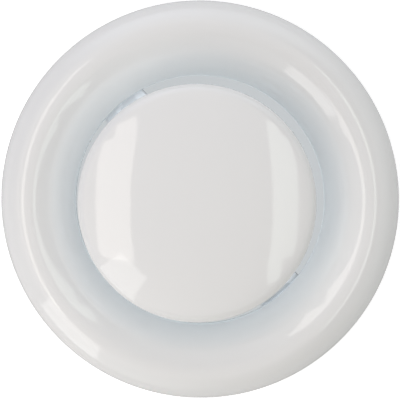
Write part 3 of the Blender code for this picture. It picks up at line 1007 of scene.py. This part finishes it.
# A block bounded by two radii, two heights and two angles.
def sectorBlock(radii, heights, angles, steps):
    bm = bmesh.new()
    (inner, outer), (low, high) = radii, heights
    corners = [(inner, low), (inner, high), (outer, high), (outer, low)]
    rows = []
    for i in range(steps + 1):
        a = angles[0] + (angles[1] - angles[0]) * i / steps
        rows.append([bm.verts.new((r * cos(a), r * sin(a), z)) for r, z in corners])
    for row, following in zip(rows, rows[1:]):
        for j in range(4):
            bm.faces.new((row[j - 1], row[j], following[j], following[j - 1]))
    bm.faces.new(rows[0])
    bm.faces.new(rows[-1])
    bmesh.ops.recalc_face_normals(bm, faces=bm.faces)
    return objectFrom(bm, "slot", "galvanised")


def sleeveCutters():
    half = sleeve["slotHalf"]
    spread = asin(half / sleeve["inner"])
    cutIn, cutOut = sleeve["cutIn"], sleeve["cutOut"]
    radii = (sleeve["inner"] - cutIn, sleeve["outer"] + cutOut)
    twist = radians(sleeve["twist"])
    z = neck["pinZ"]
    cutters = []
    for angle in pinAngles():
        run = (angle - spread, angle + twist)
        entry = (angle + twist - spread, angle + twist + spread)
        cutters.append(sectorBlock(radii, (z - half, z + half), run, steps=12))
        cutters.append(sectorBlock(radii, (z - half, wallZ + cutOut), entry, steps=6))
    middle = (sleeve["outer"] + sleeve["bend"] + sleeve["flange"]) / 2
    for i in range(sleeve["screwCount"]):
        angle = 2 * pi * (i + 0.5) / sleeve["screwCount"]
        hole = holeCutter(sleeve["screwHole"], -cutIn, fit["sheet"] + cutOut, "galvanised")
        hole.data.transform(Matrix.Translation((middle * cos(angle), middle * sin(angle), wallZ)))
        cutters.append(hole)
    return cutters


def makeMountingSleeve():
    inner, bend = sleeve["inner"], sleeve["bend"]
    rise, half, steps = sleeve["beadHeight"], sleeve["beadHalf"], sleeve["beadSteps"]
    path = [(inner, 0)]
    for side in (-1, 1):
        centre = sleeve["sealMiddle"] + side * (sleeve["sealWidth"] / 2 + half)
        path.append((inner, centre - half))
        for i in range(1, steps):
            t = 2 * i / steps - 1
            swell = min(1, (1 - abs(t)) / (1 - sleeve["beadCrown"]))
            path.append((inner + rise * (3 * swell**2 - 2 * swell**3), centre + half * t))
        path.append((inner, centre + half))
    path += arcPoints((inner + bend, sleeve["top"] - bend), bend, pi, pi / 2, steps=8)
    path.append((sleeve["flange"], sleeve["top"]))
    obj = turned("mountingSleeve", sheetProfile(path, -fit["sheet"]), "galvanised")
    cutWith(obj, sleeveCutters())
    settle(obj, "sleeve", "galvanised", "mounting_sleeve")


def makeDuctSeal():
    # A lip's tip and heel are given by shares of its reach and of the pitch between the lips.
    seal = {
        "band": 0.001,
        "tipZ": 0.75,
        "heelR": 0.85,
        "heelZ": 0.9,
        "backZ": 0.5,
        "sag": 0.12,
        "steps": 6,
    }
    low, high = nodeHeights("duct_seal")
    inner = sleeve["outer"] + fit["gap"]
    band = inner + seal["band"]
    lip = nodeRadius("duct_seal") - band
    pitch = (high - low) / 2
    shares = [i / seal["steps"] for i in range(seal["steps"] + 1)]
    points = [(inner, high), (inner, low)]
    for root in (low, low + pitch):
        tip = Vector((band + lip, root + pitch * seal["tipZ"]))
        heel = Vector((band + lip * seal["heelR"], root + pitch * seal["heelZ"]))
        back = Vector((band, root + pitch * seal["backZ"]))
        for t in shares:
            sag = seal["sag"] * lip * sin(pi * t)
            points.append((band + (tip.x - band) * t + sag / 2, root + (tip.y - root) * t - sag))
        points += endRound(tip, heel)
        points += [tuple(heel + (back - heel) * t) for t in shares]
    points.append((band, high))
    obj = turned("ductSeal", points, "rubber", sharp=50)
    settle(obj, "sleeve", "rubber", "duct_seal")


makeMountingSleeve()
makeDuctSeal()
print("sleeve and seal made")


# Studio: floor, world, lamps and camera
studio = {
    "floorSize": 8.0,         # metres
    "floorPale": (0.80, 0.80, 0.80),
    "floorGlow": 0.62,        # what the camera sees on top of the light that falls there
    "floorRoughness": 0.9,
    "floorSpecular": 0.1,
    # painted shade: inside the duct the floor is darkened and shows the camera a fixed blue-grey,
    # the shade seen through the gap round the disc
    "ductShade": (0.52, 0.545, 0.56),
    "ductShadeShare": 0.1,          # the floor's share of its colour inside the duct
    "ambient": (0.03, 0.03, 0.03),
}
# Soft lobes of the room, in degrees: full light up to the inner angle, none past the outer one.
lobes = [
    {"polar": 12, "turn": 180, "inner": 30, "outer": 50, "light": (0.72, 0.67, 0.65)},
    {"polar": 80, "turn": 90, "inner": 10, "outer": 60, "light": (0.96, 0.99, 1.03)},
    {"polar": 80, "turn": 135, "inner": 10, "outer": 60, "light": (0.31, 0.33, 0.39)},
    {"polar": 80, "turn": 225, "inner": 10, "outer": 60, "light": (0.46, 0.49, 0.53)},
    {"polar": 80, "turn": 270, "inner": 10, "outer": 60, "light": (0.38, 0.37, 0.33)},
    {"polar": 80, "turn": 0, "inner": 10, "outer": 60, "light": (0.58, 0.61, 0.61)},
]
# Panels by two opposite edges' middles, in metres to the picture's right, up and off the rim.
panels = [
    {"name": "leftStrip", "from": (-0.941, -0.06, 1.5), "to": (-0.565, -0.06, 1.5),
     "width": 1.04, "glow": (1.60, 1.50, 1.40)},
    {"name": "leftStripEnd", "from": (-0.800, 0.54, 1.5), "to": (-0.565, 0.54, 1.5),
     "width": 0.16, "glow": (1.60, 1.50, 1.40)},
    {"name": "rightStrip", "from": (0.510, -0.03, 1.5), "to": (0.770, -0.03, 1.5),
     "width": 1.06, "glow": (1.15, 1.28, 1.18)},
    {"name": "rightStripHead", "from": (0.510, 0.56, 1.5), "to": (0.660, 0.56, 1.5),
     "width": 0.12, "glow": (1.15, 1.28, 1.18)},
    {"name": "rightStripEnd", "from": (0.510, -0.68, 1.5), "to": (0.660, -0.68, 1.5),
     "width": 0.24, "glow": (1.15, 1.28, 1.18)},
    {"name": "lowLeftStrip", "from": (-0.217, -0.223, 0.01), "to": (-0.245, -0.251, 0.600),
     "width": 0.123, "glow": (1.35, 1.33, 1.28)},
]
# Light that reaches the duct from the back: down on the strap, up from low down and up on the disc.
ductLamps = [
    {"name": "strapLamp", "radius": 0.050, "height": 0.051, "turn": 0, "glow": (0.60, 0.62, 0.65)},
    {"name": "lowLamp", "radius": 0.050, "height": 0.010, "turn": pi, "glow": (0.75, 0.85, 0.90)},
    {"name": "discLamp", "radius": 0.044, "height": 0.060, "turn": pi, "glow": (0.33, 0.45, 0.53)},
]


# The picture's right and up in the ring's plane, and the axis off it.
def pictureAxes():
    return towards(90, 0), towards(90, 90), Vector((0, 0, 1))


def makeFloor():
    half = studio["floorSize"] / 2
    mesh = bpy.data.meshes.new("floor")
    mesh.from_pydata([(-half, -half, 0), (half, -half, 0), (half, half, 0), (-half, half, 0)], [],
                     [(0, 1, 2, 3)])
    floor = newObject("floor", mesh)
    material, tree, shader = newMaterial("paleFloor")
    where = addNode(tree, "ShaderNodeTexCoord").outputs["Object"]
    distance = addNode(tree, "ShaderNodeVectorMath", operation="LENGTH")
    tree.links.new(where, distance.inputs[0])
    wall = (sleeve["inner"] + sleeve["outer"]) / 2
    # Inside the duct the floor is painted dark and glows a fixed blue-grey for the camera: painted
    # shade.
    inDuct = calculator(tree)("LESS_THAN", distance.outputs["Value"], wall)
    pale, glow = studio["floorPale"], (studio["floorGlow"],) * 3
    dark = tuple(studio["ductShadeShare"] * c for c in pale)
    feedShader(
        tree, shader,
        Roughness=studio["floorRoughness"], Specular_IOR_Level=studio["floorSpecular"],
        Base_Color=colourRamp(tree, inDuct, [(0.0, pale), (1.0, dark)]),
        Emission_Color=colourRamp(tree, inDuct, [(0.0, glow), (1.0, studio["ductShade"])]),
        Emission_Strength=tree.nodes.new("ShaderNodeLightPath").outputs["Is Camera Ray"],
    )
    mesh.materials.append(material)


# A soft room: an even light with a few wide lobes, and plain white where the camera sees it.
def makeWorld():
    world = bpy.data.worlds.new("studioWorld")
    scene.world = world
    world.use_nodes = True
    tree = world.node_tree
    link = tree.links.new
    way = addNode(tree, "ShaderNodeTexCoord").outputs["Generated"]
    total = addNode(tree, "ShaderNodeCombineXYZ")
    for axis, value in zip("XYZ", studio["ambient"]):
        total.inputs[axis].default_value = value
    total = total.outputs["Vector"]
    for lobe in lobes:
        dot = addNode(tree, "ShaderNodeVectorMath", operation="DOT_PRODUCT")
        link(way, dot.inputs[0])
        dot.inputs[1].default_value = towards(lobe["polar"], lobe["turn"])
        share = addNode(tree, "ShaderNodeMapRange", interpolation_type="SMOOTHERSTEP")
        share.inputs["From Min"].default_value = cos(radians(lobe["outer"]))
        share.inputs["From Max"].default_value = cos(radians(lobe["inner"]))
        link(dot.outputs["Value"], share.inputs["Value"])
        scaled = addNode(tree, "ShaderNodeVectorMath", operation="SCALE")
        scaled.inputs[0].default_value = lobe["light"]
        link(share.outputs["Result"], scaled.inputs["Scale"])
        added = addNode(tree, "ShaderNodeVectorMath", operation="ADD")
        link(total, added.inputs[0])
        link(scaled.outputs["Vector"], added.inputs[1])
        total = added.outputs["Vector"]
    room = tree.nodes["Background"]
    link(total, room.inputs["Color"])
    path = tree.nodes.new("ShaderNodeLightPath")
    seen = addNode(tree, "ShaderNodeBackground", Color=(1, 1, 1, 1), Strength=1.0)
    mix = tree.nodes.new("ShaderNodeMixShader")
    link(path.outputs["Is Camera Ray"], mix.inputs["Fac"])
    link(room.outputs["Background"], mix.inputs[1])
    link(seen.outputs["Background"], mix.inputs[2])
    link(mix.outputs["Shader"], tree.nodes["World Output"].inputs["Surface"])


# An area lamp whose face has this brightness, where 1 is a white surface.
def newLamp(name, shape, width, length, glow):
    light = bpy.data.lights.new(name, "AREA")
    light.shape = shape
    light.size = width
    if shape == "RECTANGLE":
        light.size_y = length
    area = width * length * (pi / 4 if shape == "DISK" else 1)
    strength = max(glow)
    light.energy = strength * pi * area
    light.color = tuple(c / strength for c in glow)
    return newObject(name, light)


def makeLamps():
    right, up, out = pictureAxes()
    middle = Vector((0, 0, ring["rim"]))
    for panel in panels:
        first, last = (
            middle + right * x + up * y + out * z for x, y, z in (panel["from"], panel["to"])
        )
        centre = (first + last) / 2
        along = (last - first).normalized()
        back = (centre - middle).normalized()
        across = back.cross(along).normalized()
        back = along.cross(across)
        lamp = newLamp(panel["name"], "RECTANGLE", (last - first).length, panel["width"],
                       panel["glow"])
        turn = Matrix((along, across, back)).transposed().to_4x4()
        lamp.matrix_world = Matrix.Translation(centre) @ turn
    for inside in ductLamps:
        size = 2 * inside["radius"]
        lamp = newLamp(inside["name"], "DISK", size, size, inside["glow"])
        place = Matrix.Translation((0, 0, inside["height"]))
        lamp.matrix_world = place @ Matrix.Rotation(inside["turn"], 4, "X")


def makeCamera():
    way = towards(picture["tilt"], picture["tiltToward"])
    up = towards(90, 90)
    right = up.cross(way).normalized()
    up = way.cross(right).normalized()
    aim = Vector((0, 0, ring["rim"])) + right * picture["aimRight"] + up * picture["aimUp"]
    data = bpy.data.cameras.new("pictureCamera")
    data.sensor_width = picture["sensor"]
    widths = picture["distance"] * picture["pixelsPerMetre"] / picture["size"]
    data.lens = picture["sensor"] * widths
    data.clip_end = picture["clipEnd"]
    camera = newObject("pictureCamera", data)
    turn = Matrix((right, up, way)).transposed().to_4x4()
    camera.matrix_world = Matrix.Translation(aim + way * picture["distance"]) @ turn
    scene.camera = camera


makeFloor()
makeWorld()
makeLamps()
makeCamera()
scene.view_settings.view_transform = "Standard"
print("studio made")
